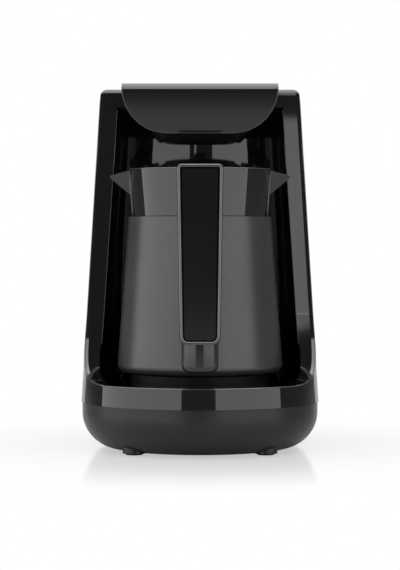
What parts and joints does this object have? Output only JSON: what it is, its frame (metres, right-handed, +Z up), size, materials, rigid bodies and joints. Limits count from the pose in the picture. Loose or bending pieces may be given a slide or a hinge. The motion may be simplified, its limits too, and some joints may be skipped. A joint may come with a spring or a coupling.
{
  "type": "electric turkish coffee maker",
  "caption": "Coffee maker with a tapering casing open at the front, a heated plate under a lift-out jug with a long handle, and a head with push keys over it.",
  "frame": {"origin": "centre of the bounding box at the level of the feet's undersides", "axes": "+Z up, -Y to the front where the jug comes out, +X to the right as seen from the front"},
  "size_m": [0.158, 0.196, 0.24],
  "materials": {
    "casing_gloss": "gloss black",
    "pan_matte": "fine matte dark grey",
    "foot_rubber": "matte",
    "screw_steel": "zinc plated",
    "nook_gloss": "gloss black",
    "head_gloss": "gloss black",
    "visor_satin": "satin black",
    "bowl_gloss": "gloss black",
    "window_smoke": "dark infrared filter",
    "board_green": "green lacquered laminate",
    "key_gloss": "satin black",
    "guide_clear": "clear moulding",
    "plate_coat": "black non-stick coat",
    "seal_rubber": "silicone",
    "element_steel": "heat tinted sheath",
    "bracket_steel": "galvanised sheet",
    "fuse_metal": "plain",
    "housing_ceramic": "unglazed",
    "sensor_metal": "polished",
    "spring_steel": "bright wire",
    "jug_matte": "soft matte dark grey",
    "collar_gloss": "gloss black",
    "lug_steel": "satin",
    "handle_gloss": "gloss black",
    "trim_gloss": "gloss dark grey",
    "insert_matte": "fine matte black",
    "part_black": "moulded case",
    "coil_yellow": "taped winding",
    "can_sleeve": "sleeved can",
    "terminal_pale": "pale moulding",
    "gland_matte": "matte"
  },
  "bodies": {
    "machine": {"base_pan": "pan_matte", "rubber_feet": "foot_rubber", "case_screws": "screw_steel", "outer_shell": "casing_gloss", "nook_liner": "nook_gloss", "head_shell": "head_gloss", "visor": "visor_satin", "head_bowl": "bowl_gloss", "sensor_window": "window_smoke", "sensor_board": "board_green", "key_board": "board_green", "key_board_screws": "screw_steel", "light_guides": "guide_clear", "hotplate": "plate_coat", "hotplate_seal": "seal_rubber", "heating_element": "element_steel", "hotplate_bracket": "bracket_steel", "bracket_screws": "screw_steel", "thermal_fuse": "fuse_metal", "sensor_housing": "housing_ceramic", "sensor_spring": "spring_steel", "control_board": "board_green", "board_screws": "screw_steel", "transformer": "coil_yellow", "relay": "part_black", "filter_capacitor": "can_sleeve", "buzzer": "part_black", "terminal_block": "terminal_pale", "cord_gland": "gland_matte"},
    "jug": {"jug_vessel": "jug_matte", "jug_collar": "collar_gloss", "handle_lug": "lug_steel", "handle_core": "handle_gloss", "handle_screw": "screw_steel", "handle_trim": "trim_gloss", "handle_insert": "insert_matte"},
    "key_small": {"key_small": "key_gloss"},
    "key_large": {"key_large": "key_gloss"},
    "sensor": {"temperature_sensor": "sensor_metal"}
  },
  "joints": [
    {"name": "jug_draw", "type": "slide", "parent": "machine", "child": "jug", "axis": [0, -0.9954, 0.0958], "range_m": [0, 0.14]},
    {"name": "key_small_press", "type": "slide", "parent": "machine", "child": "key_small", "axis": [0, 0, -1], "range_m": [0, 0.0015], "stiffness_N_per_m": 1500, "springref_m": -0.0004},
    {"name": "key_large_press", "type": "slide", "parent": "machine", "child": "key_large", "axis": [0, 0, -1], "range_m": [0, 0.0015], "stiffness_N_per_m": 1500, "springref_m": -0.0004},
    {"name": "sensor_press", "type": "slide", "parent": "machine", "child": "sensor", "axis": [0, 0, -1], "range_m": [0, 0.0012], "stiffness_N_per_m": 900, "springref_m": -0.0008, "deforming": ["sensor_spring"]}
  ]
}
